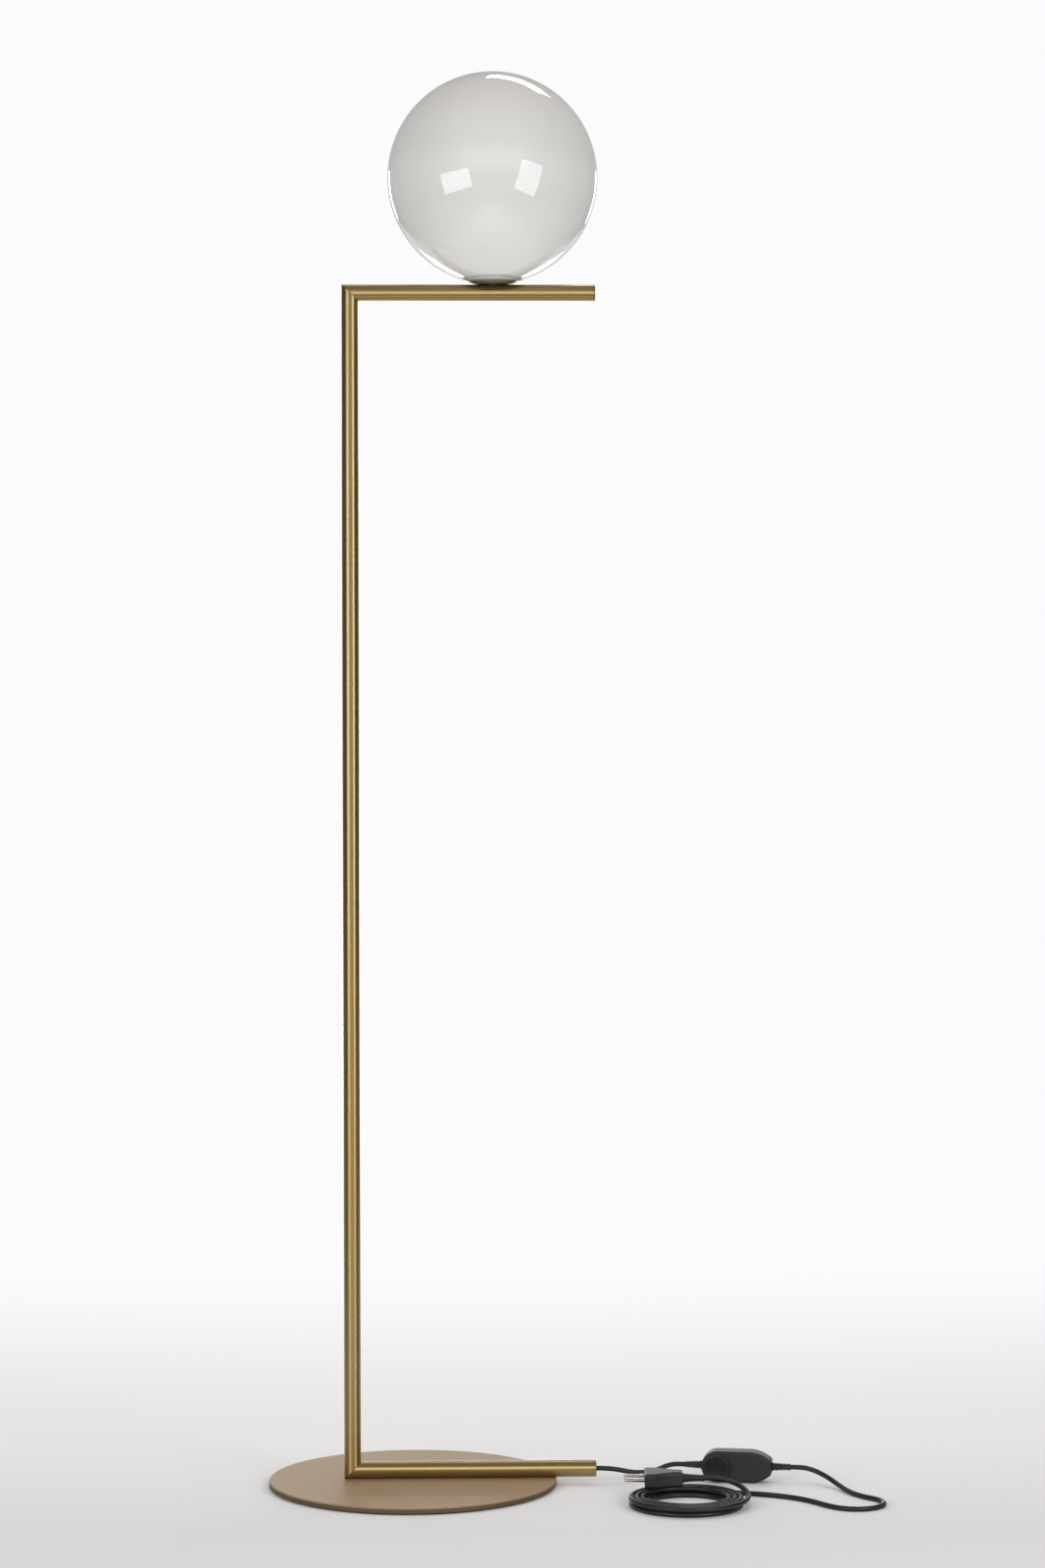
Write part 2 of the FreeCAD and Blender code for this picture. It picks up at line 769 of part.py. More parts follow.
def dimmer_body():
    depth = dimmer_thickness / 2
    face = dimmer_outline(0.0)
    face.translate(Vec(0, -depth, 0))
    body = face.extrude(Vec(0, dimmer_thickness, 0))
    end_edges = [e for e in body.Edges if e.BoundBox.XMin > dimmer_length - 0.01]
    corners = [e for e in end_edges if e.BoundBox.ZLength < 0.01]
    body = body.makeFillet(dimmer_corner, corners)
    flat = [e for e in body.Edges if e.BoundBox.YLength < 0.01]
    return body.makeFillet(dimmer_edge, flat)


def dimmer_cavity():
    depth = dimmer_thickness / 2 - dimmer_wall
    face = dimmer_outline(dimmer_wall)
    face.translate(Vec(0, -depth, 0))
    return face.extrude(Vec(0, 2 * depth, 0))


def case_screw_axes():
    return [Vec(case_screw_place.x, 0, side * case_screw_place.z) for side in (-1, 1)]


def guard_hollow():
    """Where the two cord guards pass through the housing's ends."""
    length = dimmer_width + dimmer_length
    return cylinder(guard_root_diameter, length, Vec(-dimmer_width / 2, 0, 0), ALONG)


def dimmer_shell(side):
    """One half of the housing: side -1 carries the knob, side 1 is the back."""
    far = 2 * dimmer_length
    half = block(Vec(-far, 0, -far), Vec(far, far, far))
    if side < 0:
        half = block(Vec(-far, -far, -far), Vec(far, 0, far))
    shell = dimmer_body().common(half)
    shell = shell.cut(dimmer_cavity())
    depth = dimmer_thickness / 2 - dimmer_wall / 2
    inside = dimmer_outline(dimmer_wall / 2)
    inside.translate(Vec(0, -dimmer_thickness, 0))
    inside = inside.extrude(Vec(0, 2 * dimmer_thickness, 0))
    for place in case_screw_axes():
        boss = cylinder(case_boss_diameter, depth, place, Vec(0, side, 0)).common(inside)
        shell = shell.fuse(boss)
        hole = cylinder(case_screw_diameter, depth, place, Vec(0, side, 0))
        if side < 0:
            hole = cylinder(case_screw_diameter, depth - dimmer_wall, place, Vec(0, side, 0))
        shell = shell.cut(hole)
        if side > 0:
            head_seat = place + Vec(0, dimmer_thickness / 2 - dimmer_wall, 0)
            shell = shell.cut(cylinder(case_screw_head, dimmer_wall, head_seat, Vec(0, 1, 0)))
    shell = shell.cut(guard_hollow())
    if side < 0:
        bore = shaft_diameter + 2 * shaft_clearance
        shell = shell.cut(cylinder(bore, dimmer_thickness, Vec(0, 0, 0), Vec(0, -1, 0)))
    return shell.removeSplitter()


def dimmer_screws():
    made = []
    seat = dimmer_thickness / 2 - dimmer_wall
    for place in case_screw_axes():
        tip = place - Vec(0, seat - dimmer_wall, 0)
        length = 2 * seat - dimmer_wall
        shank = cylinder(case_screw_diameter, length, tip, Vec(0, 1, 0))
        head = cylinder(case_screw_head, dimmer_wall / 2, place + Vec(0, seat, 0), Vec(0, 1, 0))
        made.append(shank.fuse(head).removeSplitter())
    return Part.makeCompound(made)


def dimmer_knob():
    """A round knob on a shaft, with a dimple near its edge that shows the setting."""
    toward = Vec(0, -1, 0)
    back = Vec(0, -dimmer_thickness / 2 - knob_gap, 0)
    knob = cylinder(knob_diameter, knob_height, back, toward)
    front = back + toward * knob_height
    rim = [e for e in knob.Edges if e.Closed and abs(e.BoundBox.YMin - front.y) < 0.01]
    rim = [e for e in rim if e.BoundBox.YLength < 0.01]
    knob = knob.makeFillet(knob_edge, rim)
    dimple = Part.makeSphere(knob_mark, front + Vec(0, 0, knob_diameter / 2 - 3 * knob_mark))
    knob = knob.cut(dimple)
    shaft = cylinder(shaft_diameter, shaft_length, back, Vec(0, 1, 0))
    return knob.fuse(shaft).removeSplitter()


def dimmer_board():
    """The circuit board, cut out round the screw bosses."""
    low = Vec(-board_start, board_depth, -board_width / 2)
    board = block(low, low + Vec(board_length, board_thickness, board_width))
    for place in case_screw_axes():
        room = case_boss_diameter + 2 * board_clearance
        board = board.cut(cylinder(room, dimmer_thickness, place, Vec(0, 1, 0)))
    return board


def dimmer_control():
    """The turning control on the board, which holds the knob's shaft."""
    low = Vec(-control_size / 2, board_depth - control_height, -control_size / 2)
    body = block(low, low + Vec(control_size, control_height, control_size))
    shaft_end = -dimmer_thickness / 2 - knob_gap + shaft_length
    bore = shaft_diameter + 2 * shaft_clearance
    depth = shaft_end + shaft_clearance - low.y
    return body.cut(cylinder(bore, depth, Vec(0, low.y, 0), Vec(0, 1, 0)))


def housing_guard(length, base, direction):
    """A tapered sleeve that keeps the cord from kinking, held by a collar in the housing."""
    inwards = direction * -1
    sleeve = tapered(guard_root_diameter, guard_tip_diameter, length, base, direction)
    neck = cylinder(guard_root_diameter, guard_neck, base, inwards)
    collar = cylinder(guard_flange_diameter, guard_flange, base + inwards * guard_neck, inwards)
    return sleeve.fuse(neck).fuse(collar).removeSplitter()


def lamp_side_guard():
    return housing_guard(dimmer_guard_length, Vec(-dimmer_width / 2, 0, 0), ALONG * -1)


def plug_side_guard():
    return housing_guard(tail_guard_length, Vec(dimmer_length, 0, 0), ALONG)


def placed_dimmer(shape):
    shape.rotate(Vec(0, 0, 0), UP, dimmer_turn)
    shape.translate(cord_origin + dimmer_place)
    return shape


# ---------------------------------------------------------------- plug
# Built with the cord's end at the origin and the pins along +X.
def plug_body():
    """A flat two-pin plug: wide at the pins, drawn in for the fingers at the cord."""
    rear = plug_guard_length
    front = rear + plug_length
    half = plug_width / 2
    rear_half = plug_rear_width / 2
    waist_y = rear_half + (half - rear_half) * plug_waist
    waist = Vec(rear + plug_length * plug_waist, waist_y, 0)
    shoulder = Vec(rear + plug_length * plug_shoulder, half, 0)
    start = Vec(rear, rear_half, 0)
    corner = Vec(front, half, 0)
    down = Vec(0, 0, -plug_thickness / 2)
    upper = [line(corner, shoulder), arc(shoulder, waist, start)]
    mirrored = [Vec(p.x, -p.y, p.z) for p in (start, waist, shoulder, corner)]
    lower = [arc(mirrored[0], mirrored[1], mirrored[2]), line(mirrored[2], mirrored[3])]
    edges = upper + [line(start, mirrored[0])] + lower + [line(mirrored[3], corner)]
    face = Part.Face(Part.Wire(edges))
    face.translate(down)
    body = face.extrude(UP * plug_thickness)
    flat = [e for e in body.Edges if e.BoundBox.ZLength < 0.01]
    return body.makeFillet(plug_edge, flat)


def plug_pins():
    made = []
    for side in (-1, 1):
        base = Vec(plug_guard_length + plug_length, side * plug_pin_spacing / 2, 0)
        pin = cylinder(plug_pin_diameter, plug_pin_length, base, ALONG)
        tip = base.x + plug_pin_length
        rim = [e for e in pin.Edges if e.Closed and abs(e.BoundBox.XMin - tip) < 0.01]
        made.append(pin.makeFillet(plug_pin_tip, rim))
    return Part.makeCompound(made)


def plug_guard():
    base = Vec(plug_guard_length, 0, 0)
    return tapered(plug_guard_root, guard_tip_diameter, plug_guard_length, base, ALONG * -1)


def placed_plug(shape):
    shape.rotate(Vec(0, 0, 0), UP, plug_heading)
    shape.translate(cord_origin + Vec(*tail_route[-1]))
    return shape


# ---------------------------------------------------------------- all pieces
def all_pieces():
    return {
        "base_pad": base_pad(),
        "base_plate": base_plate(),
        "base_screws": base_screws(),
        "screw_anchors": screw_anchors(),
        "lower_arm": lower_arm_tube(),
        "post": post_tube(),
        "upper_arm": upper_arm_tube(),
        "upper_arm_cap": end_cap(upper_end, upper_z),
        "cord_outlet_cap": cord_outlet_cap(),
        "cord_outlet_bush": cord_outlet_bush(),
        "inner_cable": inner_cable(),
        "lead_wires": lead_wires(),
        "stem": stem(),
        "stem_boss": stem_boss(),
        "shade_dish": shade_dish(),
        "glass_gasket": glass_gasket(),
        "dish_spacer": dish_spacer(),
        "spring_collar": spring_collar(),
        "globe_springs": globe_springs(),
        "stem_washer": stem_washer(),
        "stem_nut": stem_nut(),
        "holder_cap": holder_cap(),
        "lampholder": lampholder(),
        "bulb_foot": bulb_foot(),
        "bulb_pins": bulb_pins(),
        "bulb_envelope": bulb_envelope(),
        "glass_globe": glass_globe(),
        "cord_lead": cord_tube(lead_route, "cord_lead"),
        "cord_run": cord_tube(run_route, "cord_run"),
        "cord_coil": cord_coil(),
        "cord_tail": cord_tube(tail_route, "cord_tail"),
        "dimmer_front": placed_dimmer(dimmer_shell(-1)),
        "dimmer_back": placed_dimmer(dimmer_shell(1)),
        "dimmer_screws": placed_dimmer(dimmer_screws()),
        "dimmer_knob": placed_dimmer(dimmer_knob()),
        "dimmer_board": placed_dimmer(dimmer_board()),
        "dimmer_control": placed_dimmer(dimmer_control()),
        "lamp_side_guard": placed_dimmer(lamp_side_guard()),
        "plug_side_guard": placed_dimmer(plug_side_guard()),
        "plug_body": placed_plug(plug_body()),
        "plug_pins": placed_plug(plug_pins()),
        "plug_guard": placed_plug(plug_guard()),
    }


def main():
    os.makedirs("parts", exist_ok=True)
    for node, shape in all_pieces().items():
        if not shape.isValid():
            print("not valid:", node)
        shape.exportStep(f"parts/{node}.step")
    print("globe centre", round(globe_z, 2), "total height", round(globe_z + globe_radius, 2))


main()
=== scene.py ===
import json
import math

import bmesh
import bpy
from mathutils import Matrix, Quaternion, Vector


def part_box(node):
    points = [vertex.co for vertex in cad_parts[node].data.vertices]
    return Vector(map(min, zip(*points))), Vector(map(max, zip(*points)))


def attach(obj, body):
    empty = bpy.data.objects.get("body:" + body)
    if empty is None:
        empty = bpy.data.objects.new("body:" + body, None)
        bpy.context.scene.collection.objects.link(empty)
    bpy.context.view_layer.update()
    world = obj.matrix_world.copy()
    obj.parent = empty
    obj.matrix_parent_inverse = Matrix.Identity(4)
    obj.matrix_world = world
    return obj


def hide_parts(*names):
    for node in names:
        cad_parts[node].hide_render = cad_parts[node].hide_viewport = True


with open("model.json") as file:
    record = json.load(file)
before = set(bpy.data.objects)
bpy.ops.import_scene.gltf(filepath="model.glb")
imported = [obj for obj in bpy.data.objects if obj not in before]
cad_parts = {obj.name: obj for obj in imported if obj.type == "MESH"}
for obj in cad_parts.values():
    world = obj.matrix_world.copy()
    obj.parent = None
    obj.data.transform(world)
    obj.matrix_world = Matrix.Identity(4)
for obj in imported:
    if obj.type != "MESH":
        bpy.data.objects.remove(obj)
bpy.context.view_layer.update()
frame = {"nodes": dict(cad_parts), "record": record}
nodes = frame["nodes"]
print("frame loaded,", len(nodes), "nodes")

scene = bpy.context.scene
scene.view_settings.view_transform = "Standard"

grainDetail = 4.0  # octaves of the noise in every grained finish
grainEdges = (0.35, 0.65)  # levels of that noise between which a finish goes from one end to the other
mergeGap = 1e-6  # m, corners closer than this become one
sharpAngle = 40.0  # degrees, edges sharper than this are softened


def mm(*values):
    scaled = [v / 1000 for v in values]
    return scaled[0] if len(scaled) == 1 else Vector(scaled)


def hexColour(text):  # sRGB hex to the linear colour that the shaders take
    parts = [int(text[i:i + 2], 16) / 255 for i in (1, 3, 5)]
    linear = [p / 12.92 if p <= 0.04045 else ((p + 0.055) / 1.055) ** 2.4 for p in parts]
    return (*linear, 1.0)


def addNode(tree, kind, inputs=None, **settings):  # inputs: a value, or a socket to link from
    made = tree.nodes.new(kind)
    for name, value in settings.items():
        setattr(made, name, value)
    for name, value in (inputs or {}).items():
        if isinstance(value, bpy.types.NodeSocket):
            tree.links.new(value, made.inputs[name])
        else:
            made.inputs[name].default_value = value
    return made


# These five add one node each and give its output socket

def calculate(tree, operation, *values):
    return addNode(tree, "ShaderNodeMath", dict(enumerate(values)), operation=operation).outputs[0]


def fitRange(tree, value, edges, ends=(0.0, 1.0), **settings):  # between the edges, from end to end
    made = addNode(tree, "ShaderNodeMapRange", {
        "Value": value, "From Min": edges[0], "From Max": edges[1], "To Min": ends[0], "To Max": ends[1],
    }, **settings)
    return made.outputs["Result"]


def mixColours(tree, share, first, second):
    made = addNode(tree, "ShaderNodeMix", {"Factor": share, "A": first, "B": second}, data_type="RGBA")
    return made.outputs["Result"]


def mixShaders(tree, share, first, second):
    return addNode(tree, "ShaderNodeMixShader", {0: share, 1: first, 2: second}).outputs[0]


def addRamp(tree, level, tones):  # tones: places from 0 to 1 in rising order, with their colours
    made = addNode(tree, "ShaderNodeValToRGB", {"Fac": level})
    stops = made.color_ramp.elements
    stops.remove(stops[1])
    for i, (place, colour) in enumerate(tones):
        stop = stops[0] if i == 0 else stops.new(place)
        stop.position = place
        stop.color = colour
    return made.outputs["Color"]


def placeAndAxes(tree, kind="Object"):  # a texture coordinate, whole and as its X, Y and Z sockets
    place = addNode(tree, "ShaderNodeTexCoord").outputs[kind]
    return place, addNode(tree, "ShaderNodeSeparateXYZ", {"Vector": place}).outputs


# The camera, as fitted to the photograph
cameraView = {
    "place": mm(21.47, -3367.55, 696.48),
    "yaw": 0.0251,  # radians to the right of straight ahead
    "pitch": -0.0081,
    "roll": -0.00227,
    "lens": 81.02,  # mm
    "sensor": 36.0,  # mm high
    "clipEnd": 100.0,  # m
}


def makeCamera(view):
    data = bpy.data.cameras.new("camera")
    data.sensor_fit = "VERTICAL"
    data.sensor_height = view["sensor"]
    data.lens = view["lens"]
    data.clip_end = view["clipEnd"]
    camera = bpy.data.objects.new("camera", data)
    scene.collection.objects.link(camera)
    turn = Matrix.Rotation(-view["yaw"], 4, "Z") @ Matrix.Rotation(math.pi / 2 + view["pitch"], 4, "X")
    camera.matrix_world = Matrix.Translation(view["place"]) @ turn @ Matrix.Rotation(view["roll"], 4, "Z")
    scene.camera = camera


makeCamera(cameraView)
print("camera set")


def newMaterial(name, kit):
    # shader: sockets set on the Principled shader. grain: size of the pattern in mm.
    # colours, roughness: the two ends that the grain goes between. height: of its bump in mm.
    made = bpy.data.materials.new(name)
    made.use_nodes = True
    tree = made.node_tree
    tree.nodes.clear()
    body = addNode(tree, "ShaderNodeBsdfPrincipled", kit["shader"])
    addNode(tree, "ShaderNodeOutputMaterial", {"Surface": body.outputs["BSDF"]})
    if "grain" not in kit:
        return made, tree, body
    place = addNode(tree, "ShaderNodeTexCoord").outputs["Object"]
    noise = addNode(tree, "ShaderNodeTexNoise", {
        "Vector": place, "Scale": 1000 / kit["grain"], "Detail": grainDetail,
    })
    level = noise.outputs["Fac"]
    first, second = [hexColour(text) for text in kit["colours"]]
    colour = mixColours(tree, fitRange(tree, level, grainEdges), first, second)
    tree.links.new(colour, body.inputs["Base Color"])
    if "roughness" in kit:
        tree.links.new(fitRange(tree, level, grainEdges, kit["roughness"]), body.inputs["Roughness"])
    if "height" in kit:
        bump = addNode(tree, "ShaderNodeBump", {
            "Height": level, "Distance": mm(kit["height"]), "Strength": 1.0,
        })
        tree.links.new(bump.outputs["Normal"], body.inputs["Normal"])
    return made, tree, body


def coverColour(tree, body, share, colour):  # mixes a colour over the one that is there
    before = body.inputs["Base Color"].links[0].from_socket
    tree.links.new(mixColours(tree, share, before, hexColour(colour)), body.inputs["Base Color"])


def coverByDepth(tree, body, colour, top, depths, shares):  # depths: mm below the top, from low to high
    axes = placeAndAxes(tree)[1]
    edges = [top - mm(depth) for depth in depths]
    coverColour(tree, body, fitRange(tree, axes["Z"], edges, shares), colour)


# Brass-plated steel tube, turned against a belt and lacquered: the marks run round it, so that a light
# draws out along the tube, with a fine speckle
brass = {
    "shader": {
        "Metallic": 0.95, "Roughness": 0.37, "Anisotropic": 0.93, "Anisotropic Rotation": 0.25,
        "Coat Weight": 0.6, "Coat Roughness": 0.3,
    },
    "colours": ("#988150", "#B29A60"),
    "grain": 0.55,
    "height": 0.004,
    "roughness": (0.34, 0.41),
    "seamWidth": 0.3,  # mm to either side, at the mitred joints and the edge of each end cap
    "seamColour": "#6B5530",
}


def makeBrass(kit, name, along):  # along: the axis of the tube that the marks run round
    made, tree, body = newMaterial(name, kit)
    around = addNode(tree, "ShaderNodeTangent", direction_type="RADIAL", axis=along)
    tree.links.new(around.outputs["Tangent"], body.inputs["Tangent"])
    # A dark hairline in each mitre, where x - z or x + z is that of the corner, and round each cap's end
    lowArm, post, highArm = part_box("lower_arm"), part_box("post"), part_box("upper_arm")
    postX = (post[0].x + post[1].x) / 2
    lowZ = (lowArm[0].z + lowArm[1].z) / 2
    highZ = (highArm[0].z + highArm[1].z) / 2
    axes = placeAndAxes(tree)[1]
    seams = (
        (calculate(tree, "SUBTRACT", axes["X"], axes["Z"]), postX - lowZ),
        (calculate(tree, "ADD", axes["X"], axes["Z"]), postX + highZ),
        (axes["X"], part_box("cord_outlet_cap")[1].x),
        (axes["X"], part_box("upper_arm_cap")[1].x),
    )
    onSeam = 0.0
    for value, target in seams:
        near = calculate(tree, "COMPARE", value, target, mm(kit["seamWidth"]))
        onSeam = calculate(tree, "MAXIMUM", near, onSeam)
    coverColour(tree, body, onSeam, kit["seamColour"])
    return made


# Bronze powder coat on the steel base: matte, with a fine orange-peel grain
bronze = {
    "shader": {"Metallic": 0.35, "Roughness": 0.55},
    "colours": ("#93785A", "#AF9672"),
    "grain": 1.1,
    "height": 0.03,
    "roughness": (0.5, 0.62),
    "shadedSideColour": "#5C4A34",  # painted shade: the plate's side darkened, for the dim room that it faces
    "shadedSideDepths": (1.6, 0.5),  # mm below the plate's top, where that colour is full and where it ends
}


def makeBronze(kit):
    made, tree, body = newMaterial("bronzePowderCoat", kit)
    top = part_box("base_plate")[1].z
    # Painted shade: the plate's side darkens below its top edge
    coverByDepth(tree, body, kit["shadedSideColour"], top, kit["shadedSideDepths"], (1.0, 0.0))
    return made


# Blown opal glass, unlit: milky and warm grey, with a fire-polished gloss. Its grey changes with height
# as painted light and shade.
opal = {
    "shader": {"Roughness": 0.03, "IOR": 1.5},
    "tones": [  # painted light and shade by height: share of the height, from the bottom, and the colour there
        (0.0, "#DADBD8"), (0.33, "#CFCECC"), (0.5, "#D3D2D0"),
        (0.6, "#D1D0CD"), (0.7, "#D5D3CF"), (1.0, "#DDD9D3"),
    ],
}


def makeOpal(kit):
    made, tree, body = newMaterial("opalGlass", kit)
    low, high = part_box("glass_globe")
    # Painted light and shade: lighter at the bottom and at the warm top, darker a third of the way up
    level = fitRange(tree, placeAndAxes(tree)[1]["Z"], (low.z, high.z))
    tones = [(share, hexColour(text)) for share, text in kit["tones"]]
    tree.links.new(addRamp(tree, level, tones), body.inputs["Base Color"])
    return made


# Spun dish, satin greenish-grey lacquer over metal
dishMetal = {
    "shader": {"Metallic": 0.7, "Roughness": 0.38},
    "colours": ("#7C7A68", "#8A8876"),
    "grain": 0.8,
    "roughness": (0.35, 0.42),
    "rimReflectionColour": "#C2C6C1",  # painted reflection: the rim band lightened, for the lamps and room that its polished edge mirrors
    "rimReflectionDepths": (2.3, 1.8),  # mm below the rim, where that colour starts and where it is full
}


def makeDishMetal(kit):
    made, tree, body = newMaterial("satinDishMetal", kit)
    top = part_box("shade_dish")[1].z
    # Painted reflection: the top band of the dish lightened
    coverByDepth(tree, body, kit["rimReflectionColour"], top, kit["rimReflectionDepths"], (0.0, 1.0))
    return made


# Moulded silicone ring, pale grey and glossy
silicone = {
    "shader": {"Roughness": 0.2}, "colours": ("#ABAFAE", "#B7BBBA"), "grain": 1.2,
    "roughness": (0.16, 0.24),
}

# Moulded PVC cord sheath, black with a soft sheen
cordSheath = {
    "shader": {"Roughness": 0.42, "Specular IOR Level": 0.45},
    "colours": ("#101012", "#1C1C1F"), "grain": 1.4, "height": 0.02, "roughness": (0.36, 0.5),
}

# Black ABS housings, spark-eroded in the mould: a fine even stipple
housing = {
    "shader": {"Roughness": 0.5, "Specular IOR Level": 0.5},
    "colours": ("#131315", "#1E1E21"), "grain": 0.7, "height": 0.03, "roughness": (0.42, 0.56),
}

# The knob's smoother black ABS
knobPlastic = {
    "shader": {"Roughness": 0.28}, "colours": ("#18181A", "#1D1D20"), "grain": 0.8, "height": 0.003,
    "roughness": (0.26, 0.32),
}

# Nitrile foot pad, near black
padRubber = {
    "shader": {"Roughness": 0.8}, "colours": ("#1B1917", "#2A2724"), "grain": 1.5, "height": 0.05,
}

# Zinc-plated steel of the hidden hardware
zinc = {
    "shader": {"Metallic": 1.0, "Roughness": 0.35}, "colours": ("#A3A4A2", "#C0C0BC"), "grain": 1.8,
    "roughness": (0.28, 0.42),
}

# Steel of the base's screws and their anchors, and of the stem, which show in narrow gaps: painted shade,
# made near black to stand in for the shadow there
gapShadeFinish = {
    "shader": {"Metallic": 0.9, "Roughness": 0.45}, "colours": ("#2A2824", "#3A3832"), "grain": 0.9,
    "roughness": (0.4, 0.5),
}

# Nickel-plated brass pins, drawn: bright with faint marks
nickel = {
    "shader": {"Metallic": 1.0, "Roughness": 0.2}, "colours": ("#BDBAB2", "#D3D0C8"), "grain": 1.3,
    "roughness": (0.16, 0.28),
}

# Glazed steatite of the lampholder and the bulb's foot
steatite = {
    "shader": {"Roughness": 0.25}, "colours": ("#DAD7CF", "#E8E6E0"), "grain": 3.0,
    "roughness": (0.2, 0.32),
}

# Opal polycarbonate of the bulb
bulbPlastic = {"shader": {"Roughness": 0.35}, "colours": ("#E2E0DA", "#EBEAE5"), "grain": 4.0}

# Glass-fibre board with its green solder mask
solderMask = {
    "shader": {"Roughness": 0.4}, "colours": ("#174A2B", "#226339"), "grain": 1.0, "height": 0.01,
}

# Woven glass-fibre sleeve on the lead wires
glassSleeve = {
    "shader": {"Roughness": 0.75}, "colours": ("#CFCABD", "#E2DED3"), "grain": 0.5, "height": 0.05,
}

finishes = {
    "satin_brass": makeBrass(brass, "brushedBrassAlong", "X"),
    "bronze_paint": makeBronze(bronze),
    "opal_glass": makeOpal(opal),
    "dish_metal": makeDishMetal(dishMetal),
    "gasket_rubber": newMaterial("siliconeRing", silicone)[0],
    "cord_black": newMaterial("pvcCordSheath", cordSheath)[0],
    "black_plastic": newMaterial("mouldedAbs", housing)[0],
    "knob_plastic": newMaterial("polishedAbs", knobPlastic)[0],
    "pad_rubber": newMaterial("nitrilePad", padRubber)[0],
    "zinc_steel": newMaterial("zincPlatedSteel", zinc)[0],
    "pin_metal": newMaterial("nickelPlate", nickel)[0],
    "holder_ceramic": newMaterial("glazedSteatite", steatite)[0],
    "bulb_plastic": newMaterial("opalPolycarbonate", bulbPlastic)[0],
    "board_green": newMaterial("solderMask", solderMask)[0],
    "wire_white": newMaterial("glassFibreSleeve", glassSleeve)[0],
}

for part in frame["record"]["subparts"]:
    nodes[part["node"]].material_slots[0].material = finishes[part["material_slot"]]
nodes["post"].material_slots[0].material = makeBrass(brass, "brushedBrassUpright", "Z")
# Painted shade: these parts are made near black for the shadow in the gaps where they show
gapShadeMaterial = newMaterial("steelPaintedGapShade", gapShadeFinish)[0]
for name in ("base_screws", "screw_anchors", "stem"):
    nodes[name].material_slots[0].material = gapShadeMaterial
print("finishes on", len(nodes), "nodes")


def makePiece(name, shape, slot, body, replaced):  # a finished bmesh becomes a piece on its body
    for face in shape.faces:
        face.smooth = True
    mesh = bpy.data.meshes.new(name)
    shape.to_mesh(mesh)
    shape.free()
    mesh.materials.append(finishes[slot])
    piece = bpy.data.objects.new(name, mesh)
    scene.collection.objects.link(piece)
    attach(piece, body)
    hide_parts(replaced)
    return piece


def spunShape(outline, axis, around):  # a closed outline in x and z, in mm, turned round an axis
    shape = bmesh.new()
    corners = [shape.verts.new(mm(x, 0.0, z)) for x, z in outline]
    edges = [shape.edges.new(pair) for pair in zip(corners, corners[1:] + corners[:1])]
    bmesh.ops.spin(
        shape, geom=corners + edges, cent=(0, 0, 0), axis=axis, dvec=(0, 0, 0),
        angle=2 * math.pi, steps=around, use_merge=True,
    )
    bmesh.ops.remove_doubles(shape, verts=shape.verts[:], dist=mergeGap)
    bmesh.ops.recalc_face_normals(shape, faces=shape.faces[:])
    return shape


def softenEdges(piece, name, width, steps):  # width in mm
    soft = piece.modifiers.new(name, "BEVEL")
    soft.width = mm(width)
    soft.segments = steps
    soft.limit_method = "ANGLE"
    soft.angle_limit = math.radians(sharpAngle)


# The blown globe, with a real wall and a ground, softened lip at its mouth, in mm
globe = {
    "wall": 2.5,
    "mouth": 40.0,
    "lip": 0.7,
    "lipSteps": 3,
    "around": 160,  # faces
    "up": 80,
    "cutGap": 1e-7,  # m, corners closer than this to the mouth's plane count as on it
}


def makeGlobe(kit):
    low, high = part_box("glass_globe")
    middle = (low + high) / 2
    radius = (high.x - low.x) / 2
    centre = Vector((middle.x, 0.0, high.z - radius))
    mouthZ = centre.z - math.sqrt(radius**2 - mm(kit["mouth"] / 2) ** 2)
    shape = bmesh.new()
    bmesh.ops.create_uvsphere(
        shape, u_segments=kit["around"], v_segments=kit["up"], radius=radius,
        matrix=Matrix.Translation(centre),
    )
    bmesh.ops.bisect_plane(
        shape, geom=shape.verts[:] + shape.edges[:] + shape.faces[:], dist=kit["cutGap"],
        plane_co=(0, 0, mouthZ), plane_no=(0, 0, -1), clear_outer=True,
    )
    piece = makePiece("globeGlass", shape, "opal_glass", "globe", "glass_globe")
    wall = piece.modifiers.new("wall", "SOLIDIFY")
    wall.thickness = mm(kit["wall"])
    wall.offset = -1.0  # inwards
    softenEdges(piece, "lip", kit["lip"], kit["lipSteps"])


makeGlobe(globe)
print("globe made")

# The ring that the glass stands on, bulged outwards by its weight. In mm from the dish's axis and rim.
seal = {
    "outline": [
        (25.9, 0.02), (28.7, 0.02), (29.15, 0.25), (29.35, 0.6),
        (29.2, 0.95), (28.8, 1.12), (27.5, 0.84), (25.9, 0.4),
    ],
    "around": 120,  # faces
}


def makeSeal(kit):
    low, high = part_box("shade_dish")
    shape = spunShape(kit["outline"], (0, 0, 1), kit["around"])
    bmesh.ops.translate(shape, vec=((low.x + high.x) / 2, 0.0, high.z), verts=shape.verts[:])
    makePiece("bulgedSeal", shape, "gasket_rubber", "frame", "glass_gasket")


makeSeal(seal)
print("seal made")

